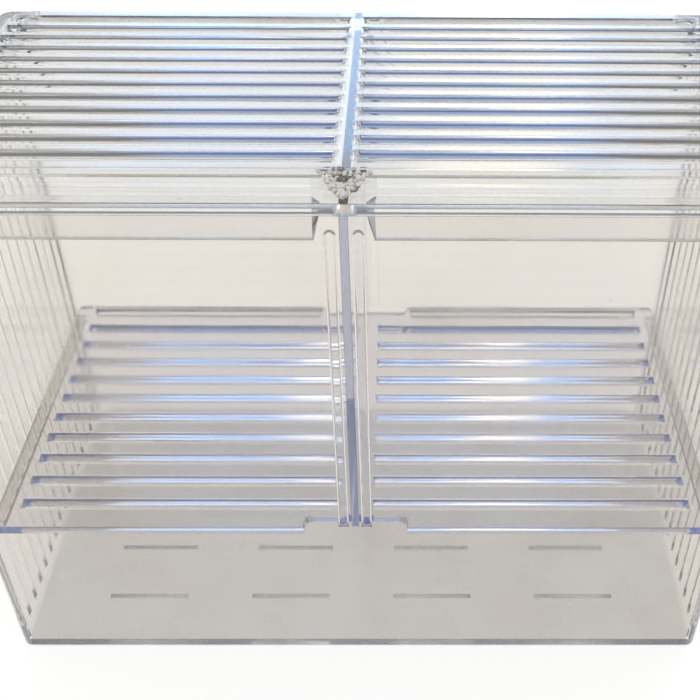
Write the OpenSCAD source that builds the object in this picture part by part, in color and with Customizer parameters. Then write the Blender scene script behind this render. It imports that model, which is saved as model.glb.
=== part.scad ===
// Two-way fish breeding box for an aquarium.
// Four clear mouldings: a slotted tank, a slotted grate that stands at mid-height,
// an upright divider between two pairs of rails, and a slotted lid that plugs into the rim.
// Millimetres. X runs along the length, Y from the front to the rear, Z up.
// The origin is the middle of the face that the tank stands on.

/* [Tank] */
// Outside length of the tank, along X
tank_length = 159; // [120:0.5:220]
// Outside depth of the tank, front to rear
tank_depth = 82.5; // [64:0.5:120]
// Height of the tank's rim above the ground
tank_height = 118.5; // [95:0.5:160]
// Thickness of the tank's four walls
wall = 1.8; // [1.2:0.1:3]
// Thickness of the tank's floor
floor_thickness = 2; // [1.2:0.1:4]
// Radius of the tank's upright outer corners
corner_radius = 2.5; // [0.5:0.1:5]

/* [Slots in the end walls] */
// Spacing of the upright slots in each end wall
wall_slot_pitch = 4.7; // [3.5:0.1:8]
// Width of one upright slot
wall_slot_width = 1.6; // [0.8:0.1:2.4]
// Plain wall left at each end of a row of upright slots
wall_slot_margin = 5; // [3:0.5:12]
// Height of the slots' lower ends above the ground
wall_slot_bottom = 5.5; // [4:0.5:15]
// Plain wall between the slots' upper ends and the lid's plug
wall_slot_top_gap = 1.5; // [0.5:0.5:8]

/* [Slots in the floor] */
// Length of one floor slot
floor_slot_length = 19; // [8:0.5:24]
// Width of one floor slot
floor_slot_width = 1.2; // [0.8:0.1:2.5]
// Spacing of the floor slots along the length of a row
floor_slot_pitch = 34.6; // [28:0.2:36]
// Plain floor beyond each end of a row of floor slots
floor_slot_margin = 12; // [4:1:20]
// Distance of the two inner rows from the middle of the floor
floor_row_inner = 11.9; // [6:0.1:16]
// Distance of the two outer rows from the middle of the floor
floor_row_outer = 27.1; // [20:0.1:29]

/* [Rails for the divider] */
// Width of the groove between the two rails of a pair
groove_width = 2.7; // [2.2:0.1:4]
// Width of one rail
rail_width = 2.15; // [1.2:0.05:3]
// How far a rail stands out from its wall
rail_depth = 1.2; // [0.8:0.1:3]
// Distance from the rim down to the rails' rounded tops
rail_top_drop = 3.7; // [2:0.1:8]
// Gap between the rails' lower ends and the top of the grate
rail_foot_gap = 0.6; // [0.3:0.1:3]

/* [Grate] */
// Height of the grate's top face above the ground
grate_top = 41; // [25:0.1:60]
// Thickness of the grate
grate_thickness = 2.2; // [1.5:0.1:4]
// Gap between the grate's edges and the tank's walls
grate_clearance = 0.4; // [0.2:0.1:1]
// Spacing of the grate's slots
grate_slot_pitch = 6.85; // [5:0.05:10]
// Width of one grate slot
grate_slot_width = 1.8; // [1:0.1:3]
// Width of the plain strip under the divider
grate_strip_width = 7.4; // [4:0.1:12]
// Plain border beyond the outer ends of the slots
grate_end_border = 5.1; // [2.5:0.1:10]
// Plain border behind the rearmost slot
grate_rear_border = 2; // [1.5:0.1:8]
// Gap beside the rails in the grate's two notches
notch_side_gap = 7.5; // [1:0.5:12]
// Gap between the front rails and the front notch
front_notch_gap = 2.6; // [0.3:0.1:4]
// Gap between the rear rails and the rear notch
rear_notch_gap = 1.6; // [0.3:0.1:4]
// Radius of the inner corners of the notches
notch_radius = 2; // [0.5:0.1:2.2]
// Plain plate left between a notch and the slots near it
notch_web = 1.2; // [0.6:0.1:3]

/* [Ledges under the grate] */
// How far the ledges stand out from the end walls
ledge_reach = 2.2; // [1.2:0.1:4]
// Height of the ledges
ledge_height = 1.8; // [1:0.1:4]
// Plain wall between the ledges' ends and the front and rear walls
ledge_margin = 3; // [1:0.5:12]

/* [Divider] */
// Thickness of the divider
divider_thickness = 1.6; // [1:0.1:2]
// Gap between the divider's upright edges and the tank's walls
divider_edge_gap = 0.4; // [0.3:0.1:1]
// Gap between the divider's top edge and the lid
divider_top_gap = 0.4; // [0.3:0.1:3]

/* [Lid] */
// Thickness of the lid's border, which lies on the rim
lid_border_thickness = 2.2; // [1.5:0.1:4]
// Height of the slotted panel above the border
panel_rise = 2.8; // [1.5:0.1:5]
// Thickness of the slotted panel
panel_thickness = 2.4; // [1.5:0.1:3.5]
// Width of the border in front of and behind the panel
border_front = 7; // [5:0.1:14]
// Width of the border at the panel's two ends
border_end = 5.2; // [4.4:0.1:14]
// Radius of the raised panel's upright corners
panel_radius = 5; // [3:0.1:9]
// Spacing of the panel's slots
lid_slot_pitch = 5.43; // [4:0.01:8]
// Width of one panel slot
lid_slot_width = 1.8; // [1:0.1:2.4]
// Plain strip between the slot field and the panel's sides
panel_margin = 1.7; // [1.2:0.1:4]
// Width of the plain strip along the panel's middle
lid_strip_width = 4.2; // [3:0.1:10]

/* [Plug under the lid] */
// Depth of the plug below the rim
plug_depth = 5.6; // [3:0.1:12]
// Thickness of the plug's walls
plug_wall = 1.8; // [1.2:0.1:3]
// Gap between the plug and the tank's walls
plug_clearance = 0.4; // [0.2:0.1:1]
// Gap beside the rails at the top of the cut-outs for them
cutout_top_gap = 0.3; // [0.3:0.1:3]
// Gap beside the rails at the bottom of the cut-outs for them
cutout_foot_gap = 1.7; // [0.5:0.1:5]

/* [Sprue mark] */
// Width of the broken-off sprue at the panel's front edge
sprue_width = 11; // [4:0.5:14]
// How far the sprue mark reaches onto the border
sprue_reach = 4.2; // [2:0.1:4.8]
// Height of the sprue mark above the border
sprue_height = 2; // [1:0.1:2.8]

/* [Hidden] */

$fn = 48;
// Overlap that joins two solids of one moulding, and the overshoot of a cutting tool
bite = 0.5;

inner_length = tank_length - 2 * wall;
inner_depth = tank_depth - 2 * wall;
inner_radius = max(corner_radius - wall, 0.3);
plug_bottom = tank_height - plug_depth;
wall_slot_top = plug_bottom - wall_slot_top_gap;
wall_slot_room = tank_depth - 2 * wall_slot_margin - wall_slot_width;
wall_slot_gaps = floor(wall_slot_room / wall_slot_pitch);
floor_slot_room = inner_length - 2 * floor_slot_margin - floor_slot_length;
floor_slot_gaps = floor(floor_slot_room / floor_slot_pitch);

grate_foot = grate_top - grate_thickness;
grate_length = inner_length - 2 * grate_clearance;
grate_depth = inner_depth - 2 * grate_clearance;
grate_slot_end = grate_length / 2 - grate_end_border;

rail_pair_width = groove_width + 2 * rail_width;
notch_width = rail_pair_width + 2 * notch_side_gap;
front_notch_depth = rail_depth - grate_clearance + front_notch_gap;
rear_notch_depth = rail_depth - grate_clearance + rear_notch_gap;
grate_field_front = front_notch_depth + notch_web - grate_depth / 2;
grate_field_rear = grate_depth / 2 - grate_rear_border;
grate_notch_reach = grate_depth / 2 - rear_notch_depth - notch_web;
grate_slot_room = grate_field_rear - grate_field_front - grate_slot_width;
grate_slot_gaps = floor(grate_slot_room / grate_slot_pitch);
rail_top = tank_height - rail_top_drop;
rail_foot = grate_top + rail_foot_gap;
rail_offset = (groove_width + rail_width) / 2;

divider_depth = inner_depth - 2 * divider_edge_gap;
divider_height = tank_height - divider_top_gap - grate_top;

border_top = tank_height + lid_border_thickness;
panel_top = border_top + panel_rise;
panel_foot = panel_top - panel_thickness;
panel_length = tank_length - 2 * border_end;
panel_depth = tank_depth - 2 * border_front;
field_length = panel_length - 2 * panel_margin;
field_depth = panel_depth - 2 * panel_margin;
field_radius = panel_radius - panel_margin;
lid_slot_gaps = floor((field_depth - 2 * panel_margin - lid_slot_width) / lid_slot_pitch);
plug_length = inner_length - 2 * plug_clearance;
plug_across = inner_depth - 2 * plug_clearance;

// Flat rectangle centred on the origin, with round corners
module rounded_sheet(length, depth, radius) {
    square([length - 2 * radius, depth], center = true);
    square([length, depth - 2 * radius], center = true);
    for (x = [-1, 1])
        for (y = [-1, 1])
            translate([x * (length / 2 - radius), y * (depth / 2 - radius)])
                circle(r = radius);
}

// Upright block on a height of its own, centred on X and Y
module block(length, depth, height, foot) {
    translate([-length / 2, -depth / 2, foot])
        cube([length, depth, height]);
}

// Row of upright slots cut right through both end walls
module wall_slots() {
    slot_height = wall_slot_top - wall_slot_bottom;
    for (i = [0 : wall_slot_gaps]) {
        across = (i - wall_slot_gaps / 2) * wall_slot_pitch;
        translate([0, across, 0])
            block(tank_length + 2 * bite, wall_slot_width, slot_height, wall_slot_bottom);
    }
}

// Rows of narrow slots through the floor
module floor_slots() {
    for (row = [-floor_row_outer, -floor_row_inner, floor_row_inner, floor_row_outer])
        for (i = [0 : floor_slot_gaps]) {
            along = (i - floor_slot_gaps / 2) * floor_slot_pitch;
            translate([along, row, 0])
                block(floor_slot_length, floor_slot_width, floor_thickness + 2 * bite, -bite);
        }
}

// One rail of a pair on the rear wall: a flat rib with a full round top
module rail() {
    rib_radius = rail_width / 2;
    translate([0, inner_depth / 2 - rail_depth, 0]) {
        translate([-rib_radius, 0, rail_foot])
            cube([rail_width, rail_depth + bite, rail_top - rib_radius - rail_foot]);
        translate([0, 0, rail_top - rib_radius])
            rotate([-90, 0, 0])
                cylinder(r = rib_radius, h = rail_depth + bite);
    }
}

// Two rails with the groove between them
module rail_pair() {
    for (side = [-1, 1])
        translate([side * rail_offset, 0, 0])
            rail();
}

// Ledge along the inside of one end wall
module ledge() {
    ledge_length = inner_depth - 2 * ledge_margin;
    translate([inner_length / 2 - ledge_reach, -ledge_length / 2, grate_foot - ledge_height])
        cube([ledge_reach + bite, ledge_length, ledge_height]);
}

module tank() {
    color("lightsteelblue", 0.5) {
        difference() {
            linear_extrude(tank_height)
                rounded_sheet(tank_length, tank_depth, corner_radius);
            translate([0, 0, floor_thickness])
                linear_extrude(tank_height)
                    rounded_sheet(inner_length, inner_depth, inner_radius);
            wall_slots();
            floor_slots();
        }
        for (turn = [0, 180])
            rotate([0, 0, turn]) {
                rail_pair();
                ledge();
            }
    }
}

// Notch in an edge of the grate that runs along X, open towards -Y, with round inner corners
module notch(depth) {
    radius = min(notch_radius, depth);
    translate([-notch_width / 2, -bite])
        square([notch_width, depth + bite - radius]);
    translate([radius - notch_width / 2, -bite])
        square([notch_width - 2 * radius, depth + bite]);
    for (side = [-1, 1])
        translate([side * (notch_width / 2 - radius), depth - radius])
            circle(r = radius);
}

// Slots on both sides of the middle strip, counted from the rear border.
// A slot that would run into the rear notch starts beside it.
module grate_slots() {
    for (i = [0 : grate_slot_gaps]) {
        across = grate_field_rear - grate_slot_width / 2 - i * grate_slot_pitch;
        beside_notch = across + grate_slot_width / 2 > grate_notch_reach;
        from = beside_notch ? notch_width / 2 + notch_web : grate_strip_width / 2;
        for (side = [-1, 1])
            translate([side * (from + grate_slot_end) / 2, across])
                square([grate_slot_end - from, grate_slot_width], center = true);
    }
}

module grate() {
    color("cornflowerblue", 0.6)
        translate([0, 0, grate_foot])
            linear_extrude(grate_thickness)
                difference() {
                    rounded_sheet(grate_length, grate_depth, inner_radius);
                    grate_slots();
                    translate([0, -grate_depth / 2])
                        notch(front_notch_depth);
                    translate([0, grate_depth / 2])
                        rotate(180)
                            notch(rear_notch_depth);
                }
}

module divider() {
    color("royalblue", 0.6)
        block(divider_thickness, divider_depth, divider_height, grate_top);
}

// Slots of the panel, trimmed to a field with round corners
module lid_slots() {
    intersection() {
        rounded_sheet(field_length, field_depth, field_radius);
        for (i = [0 : lid_slot_gaps]) {
            across = (i - lid_slot_gaps / 2) * lid_slot_pitch;
            for (side = [-1, 1])
                translate([side * (lid_strip_width + field_length) / 2, across])
                    square([field_length, lid_slot_width], center = true);
        }
    }
}

// Slanted cut-outs in the plug's front and rear walls, for the rails and the divider
module plug_cutouts() {
    top_half = rail_pair_width / 2 + cutout_top_gap;
    foot_half = rail_pair_width / 2 + cutout_foot_gap;
    rotate([90, 0, 0])
        translate([0, 0, -tank_depth / 2])
            linear_extrude(tank_depth)
                polygon([
                    [-top_half, tank_height],
                    [top_half, tank_height],
                    [foot_half, plug_bottom - bite],
                    [-foot_half, plug_bottom - bite]
                ]);
}

// Wall that hangs from the border and plugs into the tank's rim
module plug() {
    difference() {
        translate([0, 0, plug_bottom])
            linear_extrude(plug_depth + bite)
                difference() {
                    rounded_sheet(plug_length, plug_across, inner_radius);
                    square([plug_length - 2 * plug_wall, plug_across - 2 * plug_wall], center = true);
                }
        plug_cutouts();
    }
}

// Broken-off sprue at the middle of the panel's front edge: a V in two steps
module sprue_mark() {
    steps = 2;
    step_back = 0.4;
    for (i = [0 : steps - 1]) {
        share = 1 - i * step_back;
        translate([0, border_front - tank_depth / 2, border_top - bite])
            linear_extrude(bite + sprue_height * (i + 1) / steps)
                polygon([
                    [-share * sprue_width / 2, bite],
                    [-share * sprue_width / 2, -share],
                    [0, -share * sprue_reach],
                    [share * sprue_width / 2, -share],
                    [share * sprue_width / 2, bite]
                ]);
    }
}

module lid() {
    color("aliceblue", 0.6) {
        difference() {
            union() {
                translate([0, 0, tank_height])
                    linear_extrude(lid_border_thickness)
                        rounded_sheet(tank_length, tank_depth, corner_radius);
                translate([0, 0, tank_height])
                    linear_extrude(panel_top - tank_height)
                        rounded_sheet(panel_length, panel_depth, panel_radius);
            }
            translate([0, 0, tank_height - bite])
                linear_extrude(panel_foot - tank_height + bite)
                    rounded_sheet(field_length, field_depth, field_radius);
            translate([0, 0, panel_foot - bite])
                linear_extrude(panel_thickness + 2 * bite)
                    lid_slots();
        }
        plug();
        sprue_mark();
    }
}

tank();
grate();
divider();
lid();
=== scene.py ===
from math import radians
from random import Random

import bmesh
import bpy
from mathutils import Euler, Matrix, Vector


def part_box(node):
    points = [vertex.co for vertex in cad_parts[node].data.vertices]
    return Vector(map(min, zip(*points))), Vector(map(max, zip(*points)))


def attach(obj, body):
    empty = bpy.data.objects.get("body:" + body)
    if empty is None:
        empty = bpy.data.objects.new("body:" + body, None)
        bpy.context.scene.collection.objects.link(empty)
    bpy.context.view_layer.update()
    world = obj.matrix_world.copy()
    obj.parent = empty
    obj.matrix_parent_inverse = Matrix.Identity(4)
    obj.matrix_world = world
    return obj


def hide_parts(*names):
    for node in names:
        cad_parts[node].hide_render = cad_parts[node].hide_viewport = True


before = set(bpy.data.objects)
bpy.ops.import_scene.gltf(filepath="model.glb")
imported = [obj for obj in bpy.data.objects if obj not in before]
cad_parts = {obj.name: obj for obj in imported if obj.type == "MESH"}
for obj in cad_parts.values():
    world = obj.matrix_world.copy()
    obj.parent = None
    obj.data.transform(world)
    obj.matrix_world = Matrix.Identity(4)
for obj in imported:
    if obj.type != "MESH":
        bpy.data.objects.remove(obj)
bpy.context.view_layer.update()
scene = bpy.context.scene
scene.view_settings.view_transform = "Standard"
mm = 0.001
hair = 0.01 * mm  # two heights closer than this are the same


def hexToLinear(code):
    # sRGB hex to the linear colour that the shaders work in
    channels = [int(code[i:i + 2], 16) / 255 for i in (1, 3, 5)]
    linear = [c / 12.92 if c <= 0.04045 else ((c + 0.055) / 1.055) ** 2.4 for c in channels]
    return (*linear, 1)


def addNode(tree, kind, settings=None, **inputs):
    # one node with its settings; an input is a value, or a socket to link from
    node = tree.nodes.new(kind)
    for name, value in (settings or {}).items():
        if name == "stops":  # a colour ramp's places and hex colours
            ramp = node.color_ramp.elements
            while len(ramp) < len(value):
                ramp.new(1)
            for stop, (place, code) in zip(ramp, value):
                stop.position = place
                stop.color = hexToLinear(code)
        else:
            setattr(node, name, value)
    for name, value in inputs.items():
        socket = node.inputs[int(name[1:])] if name[1:].isdigit() else node.inputs[name.replace("_", " ")]
        if isinstance(value, bpy.types.NodeSocket):
            tree.links.new(value, socket)
        else:
            socket.default_value = value
    return node


camera = {
    "place": Vector((9.89, -184.97, 207.0)) * mm,
    "turn": (50.631, -0.425, -0.281),  # degrees
    "lens": 52.634,
    "sensor": 36,
    "shift": (-0.0874, 0.0083),
    "clip": (0.01, 20),
}


def makeCamera(spec):
    data = bpy.data.cameras.new("camera")
    data.sensor_width = spec["sensor"]
    data.lens = spec["lens"]
    data.shift_x, data.shift_y = spec["shift"]
    data.clip_start, data.clip_end = spec["clip"]
    eye = bpy.data.objects.new("camera", data)
    eye.location = spec["place"]
    eye.rotation_euler = Euler([radians(a) for a in spec["turn"]])
    scene.collection.objects.link(eye)
    scene.camera = eye


makeCamera(camera)
print("camera ready")

floorPaper = {
    "size": 6.0,
    "drop": 0.1 * mm,
    "colour": "#FBFAF8",
    "whiteShare": 0.76,  # share of the paper's white that the box's shadow can't take
    "whiteLevel": 1.06,
}


def makeFloor(spec):
    # seamless studio paper, matt and even: it shows nothing but the box's soft shadow
    mesh = bpy.data.meshes.new("floor")
    shape = bmesh.new()
    bmesh.ops.create_grid(shape, x_segments=1, y_segments=1, size=spec["size"] / 2)
    bmesh.ops.translate(shape, verts=shape.verts, vec=(0, 0, -spec["drop"]))
    shape.to_mesh(mesh)
    shape.free()
    floor = bpy.data.objects.new("floor", mesh)
    scene.collection.objects.link(floor)
    paper = bpy.data.materials.new("seamlessPaper")
    paper.use_nodes = True
    tree = paper.node_tree
    tree.nodes.clear()
    ray = addNode(tree, "ShaderNodeLightPath")
    seen = addNode(tree, "ShaderNodeMath", {"operation": "MAXIMUM"},
                   i0=ray.outputs["Is Camera Ray"], i1=ray.outputs["Is Transmission Ray"])
    seenAll = addNode(tree, "ShaderNodeMath", {"operation": "MAXIMUM"},
                      i0=seen.outputs[0], i1=ray.outputs["Is Glossy Ray"])
    share = addNode(tree, "ShaderNodeMath", {"operation": "MULTIPLY"},
                    i0=seenAll.outputs[0], i1=spec["whiteShare"])
    sheet = addNode(tree, "ShaderNodeBsdfDiffuse", Color=hexToLinear(spec["colour"]))
    white = addNode(tree, "ShaderNodeEmission", Color=(1, 1, 1, 1), Strength=spec["whiteLevel"])
    both = addNode(tree, "ShaderNodeMixShader", i0=share.outputs[0],
                   i1=sheet.outputs[0], i2=white.outputs[0])
    addNode(tree, "ShaderNodeOutputMaterial", Surface=both.outputs[0])
    mesh.materials.append(paper)


# places on the ramps are sines of the elevation
studio = {
    "wall": [(0.0, "#FFFFFF"), (0.1, "#FFFFFF"), (0.2, "#EFE9DE"), (0.48, "#E0D7C8"), (0.56, "#9A948A"),
             (0.78, "#8A847A"), (0.84, "#6A7896")],
    "room": [(0.0, "#FFFFFF"), (0.04, "#B8B0A6"), (0.3, "#857E78"), (0.78, "#7C7874"), (0.84, "#6A7896")],
    "roomEdge": (-0.75, -0.35),  # from the dim room behind the camera to the pale wall
    "sky": [(0.21, "#BCD0FA"), (0.3, "#BCD8FF"), (0.465, "#A4C8FA"), (0.49, "#9C9484"), (0.55, "#9C9484"),
            (0.59, "#6A7EA8"), (0.76, "#667AA0")],
    "skyStrength": 2.6,
    "sill": (0.18, 0.24),        # where the window fades in above its lower edge
    "head": (0.83, 0.78),        # and fades out at its upper edge
    "windowMiddle": -1.4,        # degrees from straight ahead
    "windowEdge": (24, 14),      # degrees from its middle: where it ends, and where it is full
    "glowAim": (0.079, 0.903, 0.423),  # a warm patch of light in the window
    "glowSpan": (0.9935, 0.9988),      # cosines of the angle off its middle
    "glowShare": 0.8,
    "glowColour": "#FFF4D6",
    "glowStrength": 1.3,
}


def makeWorld(spec):
    # the camera sees white, the paper gets even light, and the clear plastic
    # reflects and bends a pale wall with a window in it, a dim room and a dark ceiling
    world = bpy.data.worlds.new("studio")
    scene.world = world
    world.use_nodes = True
    tree = world.node_tree
    tree.nodes.clear()
    soft = {"interpolation_type": "SMOOTHSTEP"}
    ray = addNode(tree, "ShaderNodeLightPath")
    where = addNode(tree, "ShaderNodeTexCoord")
    split = addNode(tree, "ShaderNodeSeparateXYZ", i0=where.outputs["Generated"])
    height = split.outputs["Z"]
    wall = addNode(tree, "ShaderNodeValToRGB", {"stops": spec["wall"]}, i0=height)
    room = addNode(tree, "ShaderNodeValToRGB", {"stops": spec["room"]}, i0=height)
    ahead = addNode(tree, "ShaderNodeMapRange", soft,
                    i0=split.outputs["Y"], i1=spec["roomEdge"][0], i2=spec["roomEdge"][1])
    around = addNode(tree, "ShaderNodeMix", {"data_type": "RGBA"},
                     i0=ahead.outputs[0], i6=room.outputs[0], i7=wall.outputs[0])
    side = addNode(tree, "ShaderNodeMath", {"operation": "ARCTAN2"},
                   i0=split.outputs["X"], i1=split.outputs["Y"])
    turned = addNode(tree, "ShaderNodeMath", {"operation": "SUBTRACT"},
                     i0=side.outputs[0], i1=radians(spec["windowMiddle"]))
    off = addNode(tree, "ShaderNodeMath", {"operation": "ABSOLUTE"}, i0=turned.outputs[0])
    within = addNode(tree, "ShaderNodeMapRange", soft,
                     i0=off.outputs[0],
                     i1=radians(spec["windowEdge"][0]), i2=radians(spec["windowEdge"][1]))
    above = addNode(tree, "ShaderNodeMapRange", soft, i0=height, i1=spec["sill"][0], i2=spec["sill"][1])
    below = addNode(tree, "ShaderNodeMapRange", soft, i0=height, i1=spec["head"][0], i2=spec["head"][1])
    band = addNode(tree, "ShaderNodeMath", {"operation": "MULTIPLY"},
                   i0=above.outputs[0], i1=below.outputs[0])
    pane = addNode(tree, "ShaderNodeMath", {"operation": "MULTIPLY"},
                   i0=band.outputs[0], i1=within.outputs[0])
    sky = addNode(tree, "ShaderNodeValToRGB", {"stops": spec["sky"]}, i0=height)
    lit = addNode(tree, "ShaderNodeMix", {"data_type": "RGBA"},
                  i0=pane.outputs[0], i6=around.outputs[2], i7=sky.outputs[0])
    level = addNode(tree, "ShaderNodeMapRange", i0=pane.outputs[0], i3=1, i4=spec["skyStrength"])
    toGlow = addNode(tree, "ShaderNodeVectorMath", {"operation": "DOT_PRODUCT"},
                     i0=where.outputs["Generated"], i1=spec["glowAim"])
    patch = addNode(tree, "ShaderNodeMapRange", soft, i0=toGlow.outputs["Value"],
                    i1=spec["glowSpan"][0], i2=spec["glowSpan"][1], i4=spec["glowShare"])
    colour = addNode(tree, "ShaderNodeMix", {"data_type": "RGBA"},
                     i0=patch.outputs[0], i6=lit.outputs[2], i7=hexToLinear(spec["glowColour"]))
    strength = addNode(tree, "ShaderNodeMath", {"operation": "MULTIPLY_ADD"},
                       i0=patch.outputs[0], i1=spec["glowStrength"], i2=level.outputs[0])
    seen = addNode(tree, "ShaderNodeBackground", Color=colour.outputs[2], Strength=strength.outputs[0])
    even = addNode(tree, "ShaderNodeBackground", Color=(1, 1, 1, 1), Strength=1)
    white = addNode(tree, "ShaderNodeBackground", Color=(1, 1, 1, 1), Strength=1)
    forPlastic = addNode(tree, "ShaderNodeMixShader", i0=ray.outputs["Is Diffuse Ray"],
                         i1=seen.outputs[0], i2=even.outputs[0])
    both = addNode(tree, "ShaderNodeMixShader", i0=ray.outputs["Is Camera Ray"],
                   i1=forPlastic.outputs[0], i2=white.outputs[0])
    addNode(tree, "ShaderNodeOutputWorld", Surface=both.outputs[0])


lampTarget = Vector((0, 0, 0.06))  # the middle of the box
lamps = {
    "softboxTop": {"place": (0.2, 0.5, 1.1), "size": (0.7, 0.5), "power": 5, "colour": "#FFFFFF"},
    "softboxLeft": {"place": (-0.9, -0.5, 0.7), "size": (0.5, 0.7), "power": 3, "colour": "#FFF6E8"},
}


def addLamp(name, spec):
    data = bpy.data.lights.new(name, "AREA")
    data.shape = "RECTANGLE"
    data.size, data.size_y = spec["size"]
    data.energy = spec["power"]
    data.color = hexToLinear(spec["colour"])[:3]
    lamp = bpy.data.objects.new(name, data)
    lamp.location = spec["place"]
    lamp.rotation_euler = (lampTarget - Vector(spec["place"])).to_track_quat("-Z", "Y").to_euler()
    lamp.visible_glossy = False  # the plastic mirrors the room, not the lamps
    lamp.visible_transmission = False
    scene.collection.objects.link(lamp)


makeFloor(floorPaper)
makeWorld(studio)
for lampName, lampSpec in lamps.items():
    addLamp(lampName, lampSpec)
lightSteps = 40  # light runs far along a clear plate before it leaves
scene.cycles.max_bounces = lightSteps
scene.cycles.transmission_bounces = lightSteps
scene.cycles.glossy_bounces = lightSteps
print("stage ready")

# what all the clear mouldings share; a cell is one patch of its pattern
polystyrene = {
    "ior": 1.58,
    "cloudCell": 50 / 3 * mm,    # haze that comes and goes over about 17 mm
    "cloudSpan": (0.35, 0.7),
    "cloudReach": (0.5, 2),      # least and most haze, as a share of the moulding's own
    "dustCell": 12.5 * mm,       # each holds one speck about 0.5 mm across
    "dustSpan": (0.03, 0.012),
    "dustShare": 0.7,
    "dust": "#B8B6B4",
    "stainCell": 200 / 7 * mm,   # yellowed patches about 29 mm apart
    "stainSpan": (0.5, 0.75),
    "stainShare": 0.5,
    "rippleCell": 100 / 9 * mm,  # flow ripple, drawn coarser than it is so that it shows
    "rippleHeight": 0.2 * mm,
    "rippleShare": 0.08,
}


def clearPolystyrene(name, recipe):
    # crystal polystyrene, injection moulded and polished: clear across the sheet,
    # blue where light runs along it, with faint haze and flow ripple
    kind = polystyrene
    plastic = bpy.data.materials.new(name)
    plastic.use_nodes = True
    tree = plastic.node_tree
    tree.nodes.clear()
    where = addNode(tree, "ShaderNodeTexCoord")
    spot = where.outputs["Object"]
    cloud = addNode(tree, "ShaderNodeTexNoise", Vector=spot, Scale=1 / kind["cloudCell"], Detail=4)
    haze = addNode(tree, "ShaderNodeMapRange", i0=cloud.outputs[0],
                   i1=kind["cloudSpan"][0], i2=kind["cloudSpan"][1],
                   i3=recipe["haze"] * kind["cloudReach"][0], i4=recipe["haze"] * kind["cloudReach"][1])
    dust = addNode(tree, "ShaderNodeTexVoronoi", Vector=spot, Scale=1 / kind["dustCell"])
    mark = addNode(tree, "ShaderNodeMapRange", i0=dust.outputs["Distance"],
                   i1=kind["dustSpan"][0], i2=kind["dustSpan"][1], i4=kind["dustShare"])
    stain = addNode(tree, "ShaderNodeTexNoise", Vector=spot, Scale=1 / kind["stainCell"], Detail=3)
    stained = addNode(tree, "ShaderNodeMapRange", i0=stain.outputs[0],
                      i1=kind["stainSpan"][0], i2=kind["stainSpan"][1], i4=kind["stainShare"])
    body = addNode(tree, "ShaderNodeMix", {"data_type": "RGBA"}, i0=stained.outputs[0],
                   i6=hexToLinear(recipe["body"]), i7=hexToLinear(recipe.get("stain", recipe["body"])))
    tint = addNode(tree, "ShaderNodeMix", {"data_type": "RGBA"}, i0=mark.outputs[0],
                   i6=body.outputs[2], i7=hexToLinear(kind["dust"]))
    ripple = addNode(tree, "ShaderNodeTexNoise", Vector=spot, Scale=1 / kind["rippleCell"], Detail=1)
    bump = addNode(tree, "ShaderNodeBump", Strength=kind["rippleShare"], Distance=kind["rippleHeight"],
                   Height=ripple.outputs[0])
    shell = addNode(tree, "ShaderNodeBsdfPrincipled",
                    Base_Color=tint.outputs[2], Roughness=haze.outputs[0], IOR=kind["ior"],
                    Normal=bump.outputs[0], Transmission_Weight=recipe.get("clear", 1))
    depth = addNode(tree, "ShaderNodeVolumeAbsorption",
                    Color=hexToLinear(recipe["edge"]), Density=recipe["density"])
    addNode(tree, "ShaderNodeOutputMaterial", Surface=shell.outputs[0], Volume=depth.outputs[0])
    return plastic


def sharpEdges(shape):
    sharp = radians(40)
    return [e for e in shape.edges if e.is_manifold and e.calc_face_angle(0) > sharp]


def slotRims(shape, top):
    # the upper rims of the slots: a step off their wall stays over the plate
    stepOff = 4 * mm
    level = [v.co for v in shape.verts if abs(v.co.z - top) < hair]
    reach = [max(abs(co[axis]) for co in level) for axis in (0, 1)]
    rims = []
    for edge in sharpEdges(shape):
        middle = (edge.verts[0].co + edge.verts[1].co) / 2
        wall = min(edge.link_faces, key=lambda f: abs(f.normal.z))
        step = middle + wall.normal * stepOff
        if abs(middle.z - top) < hair and abs(step.x) < reach[0] and abs(step.y) < reach[1]:
            rims.append(edge)
    return rims


def draftCutouts(shape, plugBottom, rim, draft):
    # the plug's cut-outs flare towards the inside of the box, most at their top
    shortest = 3 * mm    # the sides of the cut-outs are the long edges that lean
    leastLean = 0.5 * mm
    inset = 0.1 * mm     # the outer face of the plug stays as it is
    flared = set()
    for edge in sharpEdges(shape):
        run = edge.verts[1].co - edge.verts[0].co
        middle = (edge.verts[0].co + edge.verts[1].co) / 2
        if plugBottom < middle.z < rim and abs(run.z) > shortest and leastLean < abs(run.x) < abs(run.z):
            flared.update(edge.verts)
    outside = max(abs(v.co.y) for v in flared)
    for vert in flared:
        if outside - abs(vert.co.y) > inset:
            share = (vert.co.z - plugBottom) / (rim - plugBottom)
            side = 1 if vert.co.x > 0 else -1
            vert.co.x += side * (draft[1] + share * (draft[0] - draft[1]))


def railEdges(shape, grateTop):
    # the edges of the rails that stand away from the walls
    railReach = 4 * mm
    # the wall's inner face, with 0.6 mm to spare
    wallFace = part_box("tank")[1].y - 2.4 * mm
    return [e for e in sharpEdges(shape)
            if min(v.co.z for v in e.verts) > grateTop and max(abs(v.co.x) for v in e.verts) < railReach
            and max(abs(v.co.y) for v in e.verts) < wallFace]


def footEdges(shape):
    # the outer edges of the face that the tank stands on
    wallReach = 3 * mm
    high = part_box("tank")[1]
    return [e for e in sharpEdges(shape)
            if max(v.co.z for v in e.verts) < hair
            and all(abs(v.co.x) > high.x - wallReach or abs(v.co.y) > high.y - wallReach for v in e.verts)]


def roundOver(shape, edges, width, segments, clamp=True):
    bmesh.ops.bevel(shape, geom=edges, offset=width, offset_type="OFFSET", segments=segments, profile=0.5,
                    affect="EDGES", material=-1, clamp_overlap=clamp)


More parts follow.
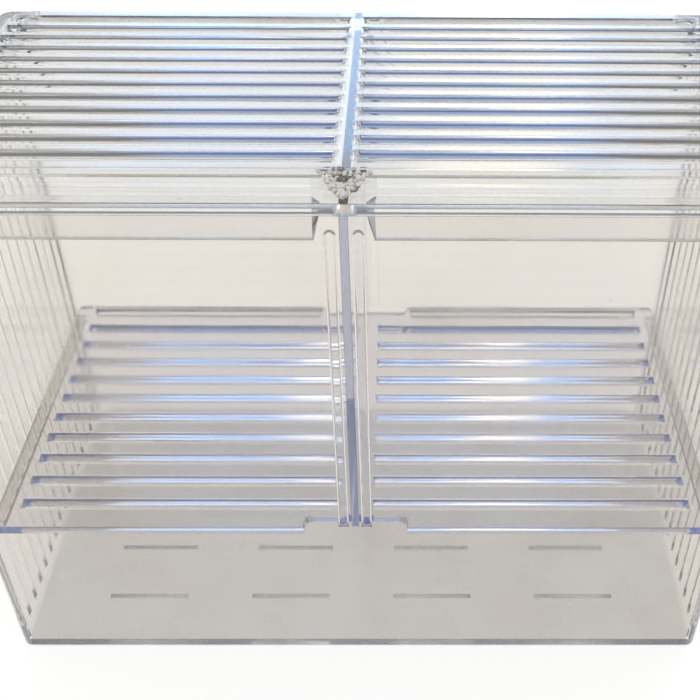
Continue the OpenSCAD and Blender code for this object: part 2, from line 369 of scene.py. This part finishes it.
def finishedMoulding(node, body, recipe, seat=None):
    # the moulding's own shape with its edges rounded as the mould leaves them
    seatGap = 0.05 * mm  # keeps a seated face from lying in its seat's own plane
    flat = 0.9999        # a face's normal lies along an axis above this
    weld = 0.001 * mm    # joins the loose triangles of the CAD mesh
    mesh = bpy.data.meshes.new(node + "Moulding")
    shape = bmesh.new()
    shape.from_mesh(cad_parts[node].data)
    bmesh.ops.remove_doubles(shape, verts=shape.verts, dist=weld)
    bmesh.ops.dissolve_limit(shape, angle_limit=radians(0.5), verts=shape.verts, edges=shape.edges)
    for vert in shape.verts:
        if seat is not None and abs(vert.co.z - seat) < hair:
            vert.co.z += seatGap
    if "draft" in recipe:
        draftCutouts(shape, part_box(node)[0].z, seat, recipe["draft"])
    if "railRound" in recipe:
        rims = railEdges(shape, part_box("grate")[1].z)
        print(node, len(rims), "rail edges")
        roundOver(shape, rims, recipe["railRound"], segments=3, clamp=False)
    if "footRound" in recipe:
        roundOver(shape, footEdges(shape), recipe["footRound"], segments=4)
    if "slatRound" in recipe:
        rims = slotRims(shape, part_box(node)[1].z)
        print(node, len(rims), "slot rims")
        roundOver(shape, rims, recipe["slatRound"], segments=4, clamp=False)
    roundOver(shape, sharpEdges(shape), recipe["edgeRound"], segments=2)
    for face in shape.faces:
        face.smooth = max(abs(c) for c in face.normal) < flat
    shape.to_mesh(mesh)
    shape.free()
    piece = bpy.data.objects.new(node + "Moulding", mesh)
    scene.collection.objects.link(piece)
    mesh.materials.append(clearPolystyrene(node + "Polystyrene", recipe))
    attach(piece, body)
    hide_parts(node)
    return piece


def finishFaces(piece, name, recipe, chosen):
    # another finish on some of a moulding's faces
    piece.data.materials.append(clearPolystyrene(name, recipe))
    for face in piece.data.polygons:
        if chosen(face):
            face.material_index = len(piece.data.materials) - 1


tankPlastic = {
    "body": "#F0EDE9",        # seen across the sheet
    "stain": "#EAE4DA",       # its slightly yellowed patches
    "edge": "#C4C8D4",        # seen along the sheet
    "density": 11,            # how soon that colour builds up
    "haze": 0.036,            # roughness of the polish
    "edgeRound": 0.2 * mm,
    "railRound": 0.5 * mm,
    "footRound": 0.9 * mm,
}
# the underside the box stands on: rougher polystyrene, tinted darker and greyer as painted shade for the
# shadow beneath the box
undersideShadePlastic = {"body": "#D6D3CF", "stain": "#CCC7C0", "edge": "#C4C8D4", "density": 16, "haze": 0.2}
tank = finishedMoulding("tank", "tank", tankPlastic)
# painted shade: the faces at the very bottom take the darker tint that stands for the shadow under the box
finishFaces(tank, "undersideShadePolystyrene", undersideShadePlastic, lambda face: face.center.z < hair)

gratePlastic = {
    "body": "#FAF7F3",
    "stain": "#F2EDE4",
    "edge": "#8CB0F2",
    "density": 46,
    "haze": 0.036,
    "edgeRound": 0.2 * mm,
    "slatRound": 0.8 * mm,
}
finishedMoulding("grate", "grate", gratePlastic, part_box("grate")[0].z)

dividerPlastic = {"body": "#FBFDFF", "edge": "#A6B6DE", "density": 11, "haze": 0.06, "edgeRound": 0.2 * mm}
# polystyrene sheet cut with a saw and left so: a cloudy white edge
sawnEdge = {"body": "#FFFDF8", "edge": "#A6B6DE", "density": 11, "haze": 0.2, "clear": 0.1}
divider = finishedMoulding("divider", "divider", dividerPlastic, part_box("divider")[0].z)
upward = 0.9  # a face looks up when its normal's height is above this
finishFaces(divider, "sawnPolystyrene", sawnEdge, lambda face: face.normal.z > upward)

lidPlastic = {
    "body": "#F5F6F5",
    "stain": "#EEE9E0",
    "edge": "#C2CCE0",
    "density": 16,
    "haze": 0.04,
    "edgeRound": 0.2 * mm,
    "slatRound": 1.12 * mm,
    "draft": (1.4 * mm, 0.3 * mm),  # at the top and the bottom of the plug's cut-outs
}
finishedMoulding("lid", "lid", lidPlastic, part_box("tank")[1].z)
print("mouldings ready")

# crumbs left where the sprue broke off
crumbs = {
    "count": 240,
    "radius": (0.25 * mm, 0.6 * mm),
    "spread": 4.5 * mm,      # half the width beside the panel
    "tipSpread": 0.5 * mm,
    "from": 7.6 * mm,        # distance from the lid's front edge
    "to": 1.8 * mm,
    "panelRise": 2.8 * mm,   # from the lid's border to the top of its panel
    "climb": 2.0 * mm,       # height of the sprue beside the panel
    "tipClimb": 0.1,         # share of that height left at the tip
    "scatter": 0.5 * mm,
    "cover": 1.3,            # of its own radii that a crumb stays below the panel's top
    "squash": ((0.7, 1.3), (0.7, 1.1), (0.6, 1.0)),
    "turn": 6,               # radians
    "brownShare": 0.08,
    "seed": 7,
}
# polystyrene torn off, not cut: small facets, half cloudy, with white glints
crumbPlastic = {"body": "#FFFDF8", "edge": "#C8D4F0", "density": 10, "haze": 0.03, "clear": 0.5}
# polystyrene scorched by the hot nozzle: pale brown
scorchedPlastic = {"body": "#D8C4A4", "edge": "#B89868", "density": 60, "haze": 0.08, "clear": 0.5}


def addChip(shape, place, radius, chance, spec):
    squash = Matrix.Diagonal([chance.uniform(*span) for span in spec["squash"]] + [1])
    turn = Euler([chance.uniform(0, spec["turn"]) for axis in range(3)]).to_matrix().to_4x4()
    chip = bmesh.ops.create_icosphere(shape, subdivisions=1, radius=radius,
                                      matrix=Matrix.Translation(place) @ squash @ turn)
    return {f for v in chip["verts"] for f in v.link_faces}


def tornPiece(name, shape, body, recipes):
    mesh = bpy.data.meshes.new(name)
    shape.to_mesh(mesh)
    shape.free()
    piece = bpy.data.objects.new(name, mesh)
    scene.collection.objects.link(piece)
    for plastic, recipe in recipes.items():
        mesh.materials.append(clearPolystyrene(plastic, recipe))
    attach(piece, body)


def sprueCrumbs(spec):
    # facetted chips in a V that narrows to the lid's front edge
    chance = Random(spec["seed"])
    low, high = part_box("lid")
    borderTop = high.z - spec["panelRise"]
    shape = bmesh.new()
    for number in range(spec["count"]):
        along = chance.random()
        radius = chance.uniform(*spec["radius"])
        reach = spec["spread"] * (1 - along) + spec["tipSpread"]
        lift = (1 - (1 - spec["tipClimb"]) * along) * spec["climb"]
        place = Vector((chance.uniform(-reach, reach),
                        low.y + spec["from"] + (spec["to"] - spec["from"]) * along,
                        borderTop + lift + chance.random() * spec["scatter"]))
        place.z = min(place.z, high.z - spec["cover"] * radius)
        faces = addChip(shape, place, radius, chance, spec)
        scorched = int(chance.random() < spec["brownShare"])
        for face in faces:
            face.material_index = scorched
    plastics = {"tornPolystyrene": crumbPlastic, "scorchedPolystyrene": scorchedPlastic}
    tornPiece("sprueCrumbs", shape, "lid", plastics)


sprueCrumbs(crumbs)
print("sprue ready")
